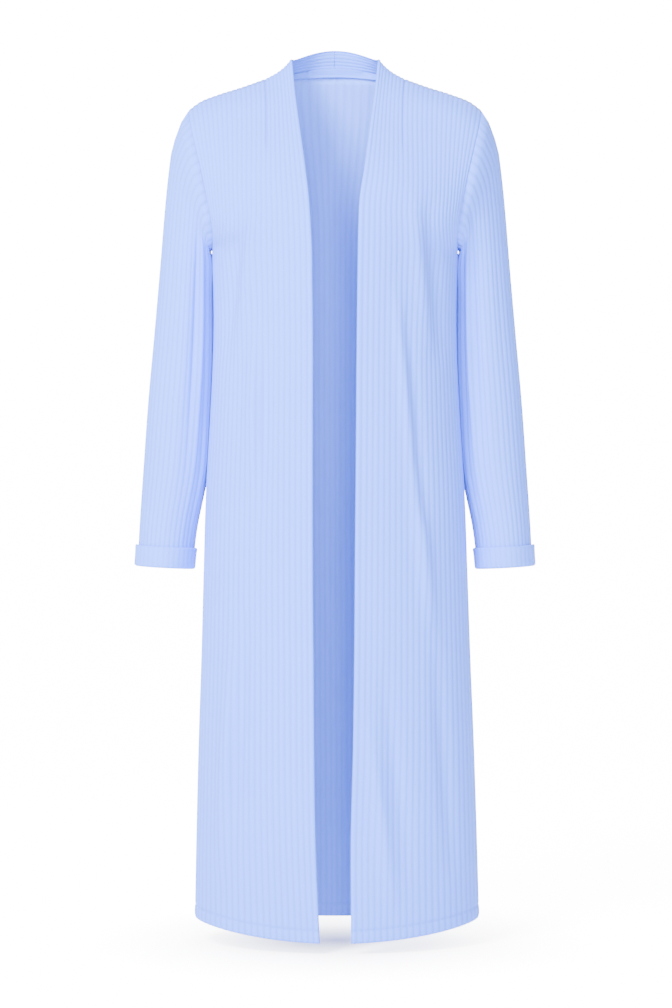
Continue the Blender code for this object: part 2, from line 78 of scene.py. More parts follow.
@dataclass(frozen=True)
class Fold:
    """One soft fold: a straight ridge or groove on a piece.

    Attributes:
        start: first end, as (distance from the middle, height).
        end: second end.
        width: half width of the fold.
        depth: how far it stands out, negative for a groove.
    """

    start: Tuple[float, float]
    end: Tuple[float, float]
    width: float
    depth: float

    def push(self, across: np.ndarray, height: np.ndarray) -> np.ndarray:
        """Outward push depth * sin(pi s) * exp(-(d / width)^2), with d the distance to the line.

        Args:
            across: distance from the middle of each point.
            height: height of each point.

        Returns:
            Push along the cloth's outward direction.
        """
        leg = np.array(self.end) - np.array(self.start)
        along = ((across - self.start[0]) * leg[0] + (height - self.start[1]) * leg[1])
        share = along / float(leg @ leg)
        held = np.clip(share, 0.0, 1.0)
        gap = np.hypot(across - self.start[0] - held * leg[0],
                       (height - self.start[1] - held * leg[1]) * FOLD_REACH)
        fade = np.sin(np.pi * (FOLD_END + (1 - 2 * FOLD_END) * held))
        return self.depth * fade * np.exp(-(gap / self.width) ** 2)


CLOTH = Cloth()
# Point attribute of painted shade that darkens the colour in rib grooves, seams, stitch lines and
# tape edges
PAINTED_SHADE_ATTRIBUTE = "groove"
WHITE = (1.0, 1.0, 1.0, 1.0)
LOOK_AT = (0.0, 0.0, -0.5)
FULL_TURN = 360.0
# How much slower a fold fades past its ends, and how much of its swell is cut off there
FOLD_REACH = 0.5
FOLD_END = 0.12
# A stitch: end point, four side points, other end point
STITCH_FACES = ((0, 2, 1), (0, 3, 2), (0, 4, 3), (0, 1, 4),
                (5, 1, 2), (5, 2, 3), (5, 3, 4), (5, 4, 1))
FRONT_RIBS = 24
COLLAR_RIBS = 8
BACK_HALF_RIBS = 28
NECK_HALF_RIBS = 12
SLEEVE_RIBS = 36
HEM_Z = -1.104
HEM_DEPTH = 0.0165
HEM_SIDE_RISE = 0.018
HEM_FADE = 0.35
ARMPIT_Z = -0.220
CONTROL_Z = (-1.104, -0.980, -0.860, -0.750, -0.640, -0.540, -0.440, -0.370, -0.310, -0.260,
             ARMPIT_Z)
RISE_ROWS = (0.08, 0.17, 0.34, 0.51, 0.68, 0.84, 1.0)
SHOULDER_CROWN = (0.0, 0.0, 0.001, 0.003, 0.007, 0.010, 0.0)
WAIST_FRONT_ARC = 0.176
WAIST_BACK_ARC = 0.198
ROW_PITCH = 0.0095
HEM_ROW_PITCH = 0.0018
# Part of the hem's depth over which the rows lie close
HEM_ROWS_REACH = 1.5
# How fast the collar's corner lets go of the neck line, as a power of the share
CORNER_POWER = 2.5
ARC_STEPS = 961
# Share of the collar's hollow that is left at the centre back
HOLLOW_LEFT = 0.25

# Height, half width, depth in front, depth behind, sideways drift of the middle
TORSO: Table = (
    (-1.104, 0.184, 0.120, 0.118, 0.0026),
    (-0.900, 0.1794, 0.118, 0.116, 0.0018),
    (-0.700, 0.1725, 0.115, 0.113, 0.0010),
    (-0.550, 0.1680, 0.112, 0.110, 0.0004),
    (-0.400, 0.1595, 0.108, 0.098, 0.0),
    (-0.330, 0.1570, 0.107, 0.094, 0.0),
    (-0.250, 0.1580, 0.110, 0.097, 0.0),
    (-0.220, 0.1590, 0.111, 0.098, 0.0),
)

# Height, then how far the right and the left opening edge stand from the middle
OPENING: Table = (
    (-1.104, 0.0189, 0.0202),
    (-1.025, 0.0227, 0.0189),
    (-0.924, 0.0252, 0.0214),
    (-0.773, 0.0265, 0.0239),
    (-0.622, 0.0277, 0.0252),
    (-0.470, 0.0277, 0.0265),
    (-0.319, 0.0277, 0.0277),
    (-0.220, 0.0290, 0.0290),
)

# Share of the way from armpit to shoulder, x of the right and the left edge, y, z
EDGE_ABOVE: Table = (
    (0.08, 0.0302, 0.0296, -0.1078, -0.1975),
    (0.17, 0.0316, 0.0303, -0.1040, -0.1720),
    (0.34, 0.0363, 0.0363, -0.0920, -0.1280),
    (0.51, 0.0420, 0.0420, -0.0740, -0.0860),
    (0.68, 0.0475, 0.0472, -0.0520, -0.0480),
    (0.84, 0.0520, 0.0520, -0.0280, -0.0120),
    (1.00, 0.0560, 0.0570, 0.0000, 0.0275),
)

# Share of the way, x, y of the front armhole, y of the back armhole, z
ARMHOLE_ABOVE: Table = (
    (0.08, 0.1574, -0.0210, 0.0235, -0.2150),
    (0.17, 0.1570, -0.0400, 0.0440, -0.2030),
    (0.34, 0.1632, -0.0530, 0.0600, -0.1650),
    (0.51, 0.1715, -0.0530, 0.0610, -0.1260),
    (0.68, 0.1800, -0.0440, 0.0520, -0.0910),
    (0.84, 0.1872, -0.0260, 0.0320, -0.0600),
    (1.00, 0.1910, 0.0, 0.0, -0.0405),
)

# Share of the way, y and z of the centre back
CENTRE_BACK_ABOVE: Table = (
    (0.08, 0.0998, -0.2005),
    (0.17, 0.1010, -0.1780),
    (0.34, 0.0985, -0.1380),
    (0.51, 0.0930, -0.0980),
    (0.68, 0.0855, -0.0600),
    (0.84, 0.0770, -0.0240),
    (1.00, 0.0680, 0.0125),
)

# Shoulder seam: share of its run, x, z
SHOULDER: Table = (
    (0.0, 0.0910, 0.0010),
    (0.3, 0.1210, -0.0097),
    (0.6, 0.1520, -0.0195),
    (0.85, 0.1770, -0.0298),
    (1.0, 0.1910, -0.0405),
)

# Collar: half width and depth behind at its foot and its top, heights at side and back
COLLAR_FOOT = (0.0910, 0.0680, 0.0010, 0.0125)
COLLAR_TOP = (0.0560, 0.0600, 0.0275, 0.0480)
COLLAR_HOLLOW = 0.0030
COLLAR_STATIONS = 40

# Sleeve rings: x and z of the outer line, x and z of the inner line, half depth,
# y of the middle, share of the armhole's own shape that is left
SLEEVE_RINGS: Table = (
    (0.1910, -0.0405, 0.1590, -0.2200, 0.0560, 0.003, 1.00),
    (0.1965, -0.0460, 0.1645, -0.2205, 0.0565, 0.005, 0.85),
    (0.2045, -0.0640, 0.1660, -0.2245, 0.0565, 0.012, 0.60),
    (0.2125, -0.0870, 0.1635, -0.2330, 0.0560, 0.020, 0.35),
    (0.2180, -0.1250, 0.1605, -0.2490, 0.0545, 0.026, 0.15),
    (0.2225, -0.1680, 0.1590, -0.2720, 0.0530, 0.030, 0.04),
    (0.2275, -0.2280, 0.1580, -0.3020, 0.0520, 0.032, 0.0),
    (0.2350, -0.3150, 0.1575, -0.3500, 0.0510, 0.032, 0.0),
    (0.2435, -0.4100, 0.1600, -0.4250, 0.0500, 0.030, 0.0),
    (0.2500, -0.5050, 0.1665, -0.5110, 0.0490, 0.025, 0.0),
    (0.2548, -0.5820, 0.1810, -0.5860, 0.0490, 0.020, 0.0),
    (0.2570, -0.6285, 0.1865, -0.6325, 0.0490, 0.018, 0.0),
)

# Cuff section: how far outside the sleeve's wall, how far above the sleeve's end
CUFF_SECTION: Table = (
    (0.0012, 0.0236),
    (0.0018, 0.0244),
    (0.0030, 0.0247),
    (0.0040, 0.0240),
    (0.0044, 0.0225),
    (0.0041, 0.0190),
    (0.0041, 0.0120),
    (0.0043, 0.0050),
    (0.0044, 0.0000),
    (0.0038, -0.0020),
    (0.0022, -0.0031),
    (0.0000, -0.0032),
    (-0.0014, -0.0026),
    (-0.0016, -0.0012),
    (-0.0010, -0.0004),
    (0.0012, -0.0004),
    (0.0012, 0.0100),
)

FRONT_FOLDS: Dict[Side, Tuple[Fold, ...]] = {
    Side.LEFT: (
        Fold((0.0787, -0.300), (0.1010, -0.527), 0.008, 0.0022),
        Fold((0.1010, -0.527), (0.1210, -0.690), 0.009, 0.0026),
        Fold((0.0920, -0.330), (0.1120, -0.560), 0.008, -0.0018),
        Fold((0.0445, -0.840), (0.0700, -1.040), 0.010, 0.0026),
        Fold((0.0640, -0.780), (0.0900, -1.000), 0.010, -0.0016),
        Fold((0.1190, -0.195), (0.1340, -0.345), 0.011, -0.0026),
        Fold((0.1020, -0.180), (0.1180, -0.330), 0.012, 0.0022),
        Fold((0.1300, -0.760), (0.1480, -1.000), 0.010, -0.0020),
    ),
    Side.RIGHT: (
        Fold((0.1200, -0.195), (0.1380, -0.350), 0.011, -0.0026),
        Fold((0.1030, -0.180), (0.1220, -0.340), 0.012, 0.0022),
        Fold((0.1030, -0.340), (0.1060, -0.500), 0.009, 0.0022),
        Fold((0.0880, -0.360), (0.0930, -0.560), 0.009, -0.0016),
        Fold((0.1320, -0.760), (0.1450, -1.010), 0.010, 0.0026),
        Fold((0.1150, -0.700), (0.1290, -0.960), 0.010, -0.0018),
    ),
}

# Sleeve creases: turn in degrees from the outer line over the front, height, half width
# in degrees, half length, depth
SLEEVE_CREASES: Table = (
    (180.0, -0.240, 26.0, 0.024, 0.0064),
    (112.0, -0.330, 6.0, 0.130, -0.0034),
    (126.0, -0.360, 6.0, 0.150, 0.0026),
    (141.0, -0.330, 7.0, 0.140, -0.0036),
    (92.0, -0.420, 8.0, 0.120, 0.0014),
    (60.0, -0.300, 10.0, 0.140, -0.0010),
    (150.0, -0.520, 9.0, 0.070, 0.0020),
    (250.0, -0.340, 9.0, 0.150, -0.0016),
)


def spline(table: Table, at: np.ndarray) -> np.ndarray:
    """Smooth curve through a table's rows, p(t) as a cubic with shared slopes.

    Args:
        table: rows with the key first.
        at: keys to read at.

    Returns:
        One row of values for each key.
    """
    rows = np.array(sorted(table), dtype=float)
    return smooth(rows[:, 0], rows[:, 1:], np.atleast_1d(np.asarray(at, dtype=float)))


def smooth(keys: np.ndarray, values: np.ndarray, at: np.ndarray) -> np.ndarray:
    """Cubic through values at rising keys: h0 p0 + h1 p1 + (h2 m0 + h3 m1) span.

    Args:
        keys: rising keys.
        values: values at the keys, key axis first.
        at: keys to read at.

    Returns:
        Values at the wanted keys.
    """
    slopes = np.gradient(values, keys, axis=0)
    at = np.clip(at, keys[0], keys[-1])
    low = np.clip(np.searchsorted(keys, at) - 1, 0, len(keys) - 2)
    shape = (-1,) + (1,) * (values.ndim - 1)
    span = (keys[low + 1] - keys[low]).reshape(shape)
    t = (at - keys[low]).reshape(shape) / span
    rise = (1 + 2 * t) * (1 - t) ** 2 * values[low] + t * t * (3 - 2 * t) * values[low + 1]
    lean = t * (1 - t) ** 2 * slopes[low] - t * t * (1 - t) * slopes[low + 1]
    return rise + lean * span


def unit(vectors: np.ndarray) -> np.ndarray:
    """Scale vectors to length one.

    Args:
        vectors: vectors in the last axis.

    Returns:
        The same vectors at length one.
    """
    return vectors / np.maximum(np.linalg.norm(vectors, axis=-1, keepdims=True), 1e-12)


def normals_of(grid: np.ndarray, outward: float, wrap: bool = False) -> np.ndarray:
    """Unit normals of a grid, cross(across, along) turned to the outside.

    Args:
        grid: points, rows by columns.
        outward: 1 or -1, the turn to the outside.
        wrap: whether the last column is the first one again.

    Returns:
        One normal for each point.
    """
    if wrap:
        closed = np.concatenate([grid[:, -2:-1], grid, grid[:, 1:2]], axis=1)
        across = np.gradient(closed, axis=1)[:, 1:-1]
    else:
        across = np.gradient(grid, axis=1)
    return outward * unit(np.cross(across, np.gradient(grid, axis=0)))


def densify(grid: np.ndarray, hem: bool) -> np.ndarray:
    """Read a control grid at close rows, evenly along its middle column.

    Args:
        grid: control rows, from the hem or the armhole on.
        hem: whether the first rows are to lie closer, for the turned hem.

    Returns:
        Grid with many rows.
    """
    middle = grid[:, grid.shape[1] // 2]
    legs = np.linalg.norm(np.diff(middle, axis=0), axis=1)
    run = np.concatenate([[0.0], np.cumsum(legs)])
    close = np.arange(0.0, HEM_ROWS_REACH * HEM_DEPTH, HEM_ROW_PITCH) if hem else np.array([0.0])
    count = int((run[-1] - close[-1]) / ROW_PITCH) + 1
    at = np.concatenate([close[:-1], np.linspace(close[-1], run[-1], count + 1)])
    return smooth(run, grid, at)


class Torso:
    """The body of the cardigan as control grids, one half at a time."""

    def __init__(self, side: Side) -> None:
        self.side = side
        self.sign = float(side.value)

    def row(self, z: float, columns: int, waist_arc: float, edge: Optional[float]) -> np.ndarray:
        """One row of x = a sin(t), y = b cos(t), with ribs even in front and wider at the side.

        Args:
            z: height of the row.
            columns: number of columns.
            waist_arc: the row's length at the waist.
            edge: distance of the opening edge, or None for the back.

        Returns:
            Points from the opening edge or the centre back to the side seam.
        """
        half, front, back, drift = spline(TORSO, np.array([z]))[0]
        depth = back if edge is None else -front
        start = 0.0 if edge is None else np.arcsin((edge - self.sign * drift) / half)
        angle = np.linspace(start, np.pi / 2, ARC_STEPS)
        line = np.stack([half * np.sin(angle), depth * np.cos(angle)], axis=1)
        arc = np.concatenate([[0.0], np.cumsum(np.linalg.norm(np.diff(line, axis=0), axis=1))])
        share = np.linspace(0.0, 1.0, columns + 1)
        stops = waist_arc * share + (arc[-1] - waist_arc) * share ** 2
        x = np.interp(stops, arc, line[:, 0])
        y = np.interp(stops, arc, line[:, 1])
        fade = np.clip(1 - (z - HEM_Z) / HEM_FADE, 0, 1) ** 2
        lift = HEM_SIDE_RISE * (x / half) ** 2 * fade
        return np.stack([self.sign * x + drift, y, z + lift], axis=1)

    def rise(self, low: np.ndarray, top: np.ndarray, inner: np.ndarray,
             outer: np.ndarray) -> np.ndarray:
        """Rows above the armpit, blended between their four borders.

        Args:
            low: row at the armpit.
            top: row at shoulder and neck.
            inner: line at the first column, one point a row.
            outer: line at the last column.

        Returns:
            The rows, as one array.
        """
        share = np.linspace(0.0, 1.0, len(low))
        roundness = (low[:, 1] - low[-1, 1]) / (low[0, 1] - low[-1, 1])
        weight = np.stack([1 - share, roundness, 1 - share], axis=1)
        low_gap = low - (low[-1] + (low[0] - low[-1]) * weight)
        top_gap = top - (top[-1] + (top[0] - top[-1]) * weight)
        rows = []
        for step, rise in enumerate(RISE_ROWS):
            across = outer[step] + (inner[step] - outer[step]) * weight
            fade = (1 - rise) ** 2 * (1 + 2 * rise)
            gain = np.array([1 - fade, rise ** CORNER_POWER, 1 - fade])
            row = across + fade * low_gap + gain * top_gap
            row[:, 2] += SHOULDER_CROWN[step] * np.sin(np.pi * share)
            rows.append(row)
        return np.array(rows)

    def shoulder(self, columns: int) -> np.ndarray:
        """Shoulder seam from the collar's foot to the sleeve.

        Args:
            columns: number of columns.

        Returns:
            Points of the seam.
        """
        x, z = spline(SHOULDER, np.linspace(0.0, 1.0, columns + 1)).T
        return np.stack([self.sign * x, np.zeros_like(x), z], axis=1)

    def collar_line(self, sizes: Tuple[float, ...], turn: np.ndarray) -> np.ndarray:
        """Foot or top of the collar, (a cos t, b sin t) rising from side to back.

        Args:
            sizes: half width, depth behind, height at the side and at the back.
            turn: turn round the neck from the side.

        Returns:
            Points of the line.
        """
        half, depth, side_z, back_z = sizes
        rise = side_z + (back_z - side_z) * np.sin(turn) ** 2
        return np.stack([self.sign * half * np.cos(turn), depth * np.sin(turn), rise], axis=1)

    def collar(self, columns: int) -> np.ndarray:
        """Collar from the side of the neck to the centre back.

        Args:
            columns: number of columns from the top edge to the foot.

        Returns:
            Grid of points.
        """
        turn = np.linspace(0.0, np.pi / 2, COLLAR_STATIONS + 1)
        foot = self.collar_line(COLLAR_FOOT, turn)
        top = self.collar_line(COLLAR_TOP, turn)
        share = np.linspace(0.0, 1.0, columns + 1)[None, :, None]
        inward = -np.stack([self.sign * np.cos(turn), np.sin(turn), np.cos(turn)], axis=1)
        fade = (HOLLOW_LEFT + (1 - HOLLOW_LEFT) * np.cos(turn) ** 2)[:, None]
        hollow = COLLAR_HOLLOW * np.sin(np.pi * share) * (unit(inward) * fade)[:, None, :]
        return top[:, None, :] + (foot - top)[:, None, :] * share + hollow

    def border(self, table: Table, x_column: int, y_column: int) -> np.ndarray:
        """Side line of the rows above the armpit.

        Args:
            table: rows of the line.
            x_column: column that holds x.
            y_column: column that holds y.

        Returns:
            Points of the line.
        """
        rows = np.array(table)
        return np.stack([self.sign * rows[:, x_column], rows[:, y_column], rows[:, -1]], axis=1)

    def front(self) -> Tuple[np.ndarray, np.ndarray]:
        """Control grid of the front, and the collar's grid.

        Returns:
            Main rows from hem to shoulder, and collar rows.
        """
        columns = FRONT_RIBS * CLOTH.columns_per_rib
        collar_columns = COLLAR_RIBS * CLOTH.columns_per_rib
        edge_column = 2 if self.side is Side.LEFT else 1
        rows = []
        for z in CONTROL_Z:
            edge = spline(OPENING, np.array([z]))[0][edge_column - 1]
            rows.append(self.row(z, columns, WAIST_FRONT_ARC, edge))
        collar = self.collar(collar_columns)
        top = np.concatenate([collar[0], self.shoulder(columns - collar_columns)[1:]])
        inner = self.border(EDGE_ABOVE, edge_column, 3)
        inner[-1] = top[0]
        upper = self.rise(rows[-1], top, inner, self.border(ARMHOLE_ABOVE, 1, 2))
        return np.concatenate([np.array(rows), upper]), collar

    def back(self) -> np.ndarray:
        """Control grid of one half of the back.

        Returns:
            Rows from hem to shoulder, centre back first.
        """
        columns = BACK_HALF_RIBS * CLOTH.columns_per_rib
        neck_columns = NECK_HALF_RIBS * CLOTH.columns_per_rib
        rows = [self.row(z, columns, WAIST_BACK_ARC, None) for z in CONTROL_Z]
        neck = self.collar_line(COLLAR_FOOT, np.linspace(np.pi / 2, 0.0, neck_columns + 1))
        top = np.concatenate([neck, self.shoulder(columns - neck_columns)[1:]])
        inner = np.array([(0.0, y, z) for _, y, z in CENTRE_BACK_ABOVE])
        upper = self.rise(rows[-1], top, inner, self.border(ARMHOLE_ABOVE, 1, 3))
        return np.concatenate([np.array(rows), upper])


def rib_shape(columns: int) -> np.ndarray:
    """Height of the ribs across a row, 1 - exp(-(d / w)^2) with d from the groove.

    Args:
        columns: number of columns.

    Returns:
        Height from 0 in a groove to 1 on a rib.
    """
    place = np.arange(columns + 1) / CLOTH.columns_per_rib
    return 1 - bell(np.abs(place - np.round(place)), CLOTH.groove_width)


def bell(distance: np.ndarray, width: float) -> np.ndarray:
    """Bell exp(-(distance / width)^2) beside a line.

    Args:
        distance: distance from the line.
        width: half width of the bell.

    Returns:
        One at the line, fading to zero.
    """
    return np.exp(-(distance / width) ** 2)


def running_length(grid: np.ndarray, axis: int) -> np.ndarray:
    """Length along rows or columns from the first point.

    Args:
        grid: points, rows by columns.
        axis: 0 to run over rows, 1 to run over columns.

    Returns:
        Length at each point.
    """
    legs = np.linalg.norm(np.diff(grid, axis=axis), axis=-1)
    zero = np.zeros_like(np.take(legs, [0], axis=axis))
    return np.concatenate([zero, np.cumsum(legs, axis=axis)], axis=axis)


def grid_faces(rows: int, columns: int, flip: bool) -> np.ndarray:
    """Quads of a grid of points.

    Args:
        rows: number of point rows.
        columns: number of point columns.
        flip: whether the outside is on the other side.

    Returns:
        Four point numbers for each quad.
    """
    return index_faces(np.arange(rows * columns).reshape(rows, columns), flip)


def index_faces(index: np.ndarray, flip: bool) -> np.ndarray:
    """Quads between neighbouring point numbers.

    Args:
        index: point numbers, rows by columns.
        flip: whether the outside is on the other side.

    Returns:
        Four point numbers for each quad.
    """
    quads = np.stack([index[:-1, :-1], index[:-1, 1:], index[1:, 1:], index[1:, :-1]], axis=-1)
    quads = quads.reshape(-1, 4)
    return quads[:, ::-1] if flip else quads


@dataclass
class Sheet:
    """One cloth piece ready to be meshed.

    Attributes:
        points: places of the points.
        groove: painted shade of each point, from 0 to 1: how deep it lies in a rib groove, plus
            darkened seams, stitch lines and tape edges.
        faces: point numbers of the faces.
        uv: place of each point on the flat cloth.
    """

    points: np.ndarray
    groove: np.ndarray
    faces: np.ndarray
    uv: np.ndarray


class JerseyGroup:
    """Shared node group: tone of the jersey darkened by painted groove shade, and the height of
    its grain.
    """

    NAME = "jersey_surface"
    CLOUD_SCALE = 9.0
    CLOUD_DETAIL = 3.0
    TONE_LOW = 0.96
    TONE_HIGH = 1.04
    GRAIN_SCALE = 700.0
    GRAIN_DETAIL = 2.0

    def build(self) -> bpy.types.NodeTree:
        """Build colour = cloth colour * cloudy tone * painted groove shade, and a fine noise
        height.

        Returns:
            The node group.
        """
        tree = bpy.data.node_groups.new(self.NAME, "ShaderNodeTree")
        for name, kind in (("Place", "NodeSocketVector"), ("Cloth Colour", "NodeSocketVector"),
                           ("Groove", "NodeSocketFloat"), ("Groove Shade", "NodeSocketFloat")):
            tree.interface.new_socket(name, in_out="INPUT", socket_type=kind)
        tree.interface.new_socket("Colour", in_out="OUTPUT", socket_type="NodeSocketColor")
        tree.interface.new_socket("Grain", in_out="OUTPUT", socket_type="NodeSocketFloat")
        nodes, links = tree.nodes, tree.links
        given, out = nodes.new("NodeGroupInput"), nodes.new("NodeGroupOutput")
        cloud, grain = nodes.new("ShaderNodeTexNoise"), nodes.new("ShaderNodeTexNoise")
        cloud.inputs["Scale"].default_value = self.CLOUD_SCALE
        cloud.inputs["Detail"].default_value = self.CLOUD_DETAIL
        grain.inputs["Scale"].default_value = self.GRAIN_SCALE
        grain.inputs["Detail"].default_value = self.GRAIN_DETAIL
        tone, depth = nodes.new("ShaderNodeMapRange"), nodes.new("ShaderNodeMapRange")
        tone.inputs["To Min"].default_value = self.TONE_LOW
        tone.inputs["To Max"].default_value = self.TONE_HIGH
        # Groove mask to painted shade: 1 on a rib, the groove shade in a groove
        depth.inputs["To Min"].default_value = 1.0
        shade = nodes.new("ShaderNodeMath")
        shade.operation = "MULTIPLY"
        tint = nodes.new("ShaderNodeVectorMath")
        tint.operation = "SCALE"
        links.new(given.outputs["Place"], cloud.inputs["Vector"])
        links.new(given.outputs["Place"], grain.inputs["Vector"])
        links.new(cloud.outputs["Fac"], tone.inputs["Value"])
        links.new(given.outputs["Groove"], depth.inputs["Value"])
        links.new(given.outputs["Groove Shade"], depth.inputs["To Max"])
        links.new(tone.outputs["Result"], shade.inputs[0])
        links.new(depth.outputs["Result"], shade.inputs[1])
        links.new(given.outputs["Cloth Colour"], tint.inputs[0])
        links.new(shade.outputs["Value"], tint.inputs["Scale"])
        links.new(tint.outputs["Vector"], out.inputs["Colour"])
        links.new(grain.outputs["Fac"], out.inputs["Grain"])
        return tree


@dataclass(frozen=True)
class Jersey:
    """Matt jersey with darker grooves, a fine knit grain and a soft sheen.

    Attributes:
        name: name of the material.
        colour: base colour, linear.
        groove_shade: share of the colour that is left in a groove, as painted shade.
        roughness: how matt the cloth is.
        sheen: weight of the fuzz on it.
        sheen_roughness: spread of that fuzz.
        gloss: level of plain reflection.
        grain: strength of the knit grain.
        grain_height: height of the knit grain.
    """

    name: str
    colour: Tuple[float, float, float]
    groove_shade: float
    roughness: float = 0.82
    sheen: float = 0.06
    sheen_roughness: float = 0.5
    gloss: float = 0.12
    grain: float = 0.18
    grain_height: float = 0.0006

    def build(self, group: bpy.types.NodeTree) -> bpy.types.Material:
        """Make the material.

        Args:
            group: the jersey's shared node group.

        Returns:
            The material.
        """
        material = bpy.data.materials.new(self.name)
        material.use_nodes = True
        nodes, links = material.node_tree.nodes, material.node_tree.links
        shader = nodes["Principled BSDF"]
        shader.inputs["Roughness"].default_value = self.roughness
        shader.inputs["Sheen Weight"].default_value = self.sheen
        shader.inputs["Sheen Roughness"].default_value = self.sheen_roughness
        shader.inputs["Specular IOR Level"].default_value = self.gloss
        surface = nodes.new("ShaderNodeGroup")
        surface.node_tree = group
        surface.inputs["Cloth Colour"].default_value = self.colour
        surface.inputs["Groove Shade"].default_value = self.groove_shade
        groove = nodes.new("ShaderNodeAttribute")
        groove.attribute_name = PAINTED_SHADE_ATTRIBUTE
        place = nodes.new("ShaderNodeTexCoord")
        bump = nodes.new("ShaderNodeBump")
        bump.inputs["Strength"].default_value = self.grain
        bump.inputs["Distance"].default_value = self.grain_height
        links.new(place.outputs["Object"], surface.inputs["Place"])
        links.new(groove.outputs["Fac"], surface.inputs["Groove"])
        links.new(surface.outputs["Colour"], shader.inputs["Base Color"])
        links.new(surface.outputs["Grain"], bump.inputs["Height"])
        links.new(bump.outputs["Normal"], shader.inputs["Normal"])
        return material


class Finish(Enum):
    """Finishes of the garment, as seen through the renderer's film curve."""

    CLOTH = Jersey("rib_jersey", (0.085, 0.205, 0.95), 0.84)
    # Copy of the jersey for the back, coloured for how its shaded inside looks: painted light, not
    # a second cloth colour
    INSIDE = Jersey("rib_jersey_inside_shade_tuned", (0.12, 0.245, 0.92), 0.92)
    THREAD = Jersey("thread", (0.065, 0.165, 0.86), 1.0)


class Maker:
    """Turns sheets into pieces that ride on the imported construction."""

    def __init__(self) -> None:
        group = JerseyGroup().build()
        self.materials = {finish: finish.value.build(group) for finish in Finish}

    def mesh(self, name: str, sheet: Sheet, finish: Finish) -> bpy.types.Object:
        """Make one smooth mesh object.

        Args:
            name: name of the piece.
            sheet: its points and faces.
            finish: its finish.

        Returns:
            The object.
        """
        mesh = bpy.data.meshes.new(name)
        mesh.from_pydata(sheet.points.tolist(), [], sheet.faces.tolist())
        mesh.shade_smooth()
        mask = mesh.attributes.new(PAINTED_SHADE_ATTRIBUTE, "FLOAT", "POINT")
        mask.data.foreach_set("value", sheet.groove.astype(np.float32))
        layer = mesh.uv_layers.new(name="cloth")
        corners = np.empty(len(mesh.loops), dtype=np.int32)
        mesh.loops.foreach_get("vertex_index", corners)
        layer.uv.foreach_set("vector", sheet.uv[corners].astype(np.float32).ravel())
        mesh.materials.append(self.materials[finish])
        piece = bpy.data.objects.new(name, mesh)
        bpy.context.scene.collection.objects.link(piece)
        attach(piece, "root")
        LOG.info("%s: %d points, %d faces", name, len(sheet.points), len(sheet.faces))
        return piece

    def shell(self, node: str, sheet: Sheet, finish: Finish,
              thickness: float = CLOTH.thickness, offset: float = -1.0) -> bpy.types.Object:
        """Make a cloth piece with a real wall that stands for a node.

        Args:
            node: the node it stands for.
            sheet: its points and faces.
            finish: its finish.
            thickness: wall of the cloth.
            offset: -1 with the outside on the sheet, 1 with the inside on it.

        Returns:
            The object.
        """
        piece = self.mesh("cloth_" + node, sheet, finish)
        wall = piece.modifiers.new("wall", "SOLIDIFY")
        wall.thickness = thickness
        wall.offset = offset
        wall.use_rim = True
        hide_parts(node)
        return piece


@dataclass(frozen=True)
class Panel:
    """What all flat-cut panels share: ribs, seams and the turned hem.

    Attributes:
        seam_width: half width of the draw-in along a seam.
        stitch_width: half width of the groove under the hem's stitches.
        stitch_dip: depth of that groove.
        stitch_shade: how much painted shade darkens that groove.
        hem_swell: how far the turned hem stands out.
        hem_width: half width of that swell.
        lip_dip: how far the hem's lip is rounded in.
        lip_width: half width of the lip.
    """

    seam_width: float = 0.002
    stitch_width: float = 0.0016
    stitch_dip: float = 0.0007
    stitch_shade: float = 0.8
    hem_swell: float = 0.0004
    hem_width: float = 0.006
    lip_dip: float = 0.0008
    lip_width: float = 0.002

    def ribs(self, rows: int, shape: np.ndarray) -> Tuple[np.ndarray, np.ndarray]:
        """Push and painted-shade mask of the ribs alone.

        Args:
            rows: number of rows.
            shape: rib height across a row.

        Returns:
            Push for each point, and the mask of painted shade in the grooves.
        """
        return np.tile(CLOTH.rib_height * shape, (rows, 1)), np.tile(1 - shape, (rows, 1))

    def hem(self, grid: np.ndarray, shape: np.ndarray) -> Tuple[np.ndarray, np.ndarray]:
        """Push and painted-shade mask of ribs and turned hem.

        Args:
            grid: points of the panel, hem first.
            shape: rib height across a row.

        Returns:
            Push for each point, and the mask of painted shade in grooves and along the stitches.
        """
        push, groove = self.ribs(len(grid), shape)
        height = running_length(grid, 0)
        stitch = bell(height - HEM_DEPTH, self.stitch_width)
        push = push - self.stitch_dip * stitch - self.lip_dip * bell(height, self.lip_width)
        push += self.hem_swell * bell(height - 0.5 * HEM_DEPTH, self.hem_width)
        # Painted shade along the hem's stitch groove
        return push, np.clip(groove + self.stitch_shade * stitch, 0, 1)

    def seam(self, distance: np.ndarray) -> np.ndarray:
        """Draw-in beside a seam, from the distance to it."""
        return CLOTH.seam_dip * bell(distance, self.seam_width)


@dataclass(frozen=True)
class Bust:
    """Rounding of a front over the bust.

    Attributes:
        across: distance of its middle from the garment's middle.
        height: height of its middle.
        width: half width.
        above: reach above its middle.
        below: reach below it.
        depth: how far it stands out.
    """

    across: float = 0.078
    height: float = -0.140
    width: float = 0.048
    above: float = 0.060
    below: float = 0.045
    depth: float = 0.0050

    def push(self, across: np.ndarray, height: np.ndarray) -> np.ndarray:
        """Outward push, a bell exp(-(dx / w)^2 - (dz / h)^2) that is steeper below.

        Args:
            across: distance from the middle of each point.
            height: height of each point.

        Returns:
            Push along the cloth's outward direction.
        """
        reach = np.where(height > self.height, self.above, self.below)
        gap = ((across - self.across) / self.width) ** 2 + ((height - self.height) / reach) ** 2
        return self.depth * np.exp(-gap)


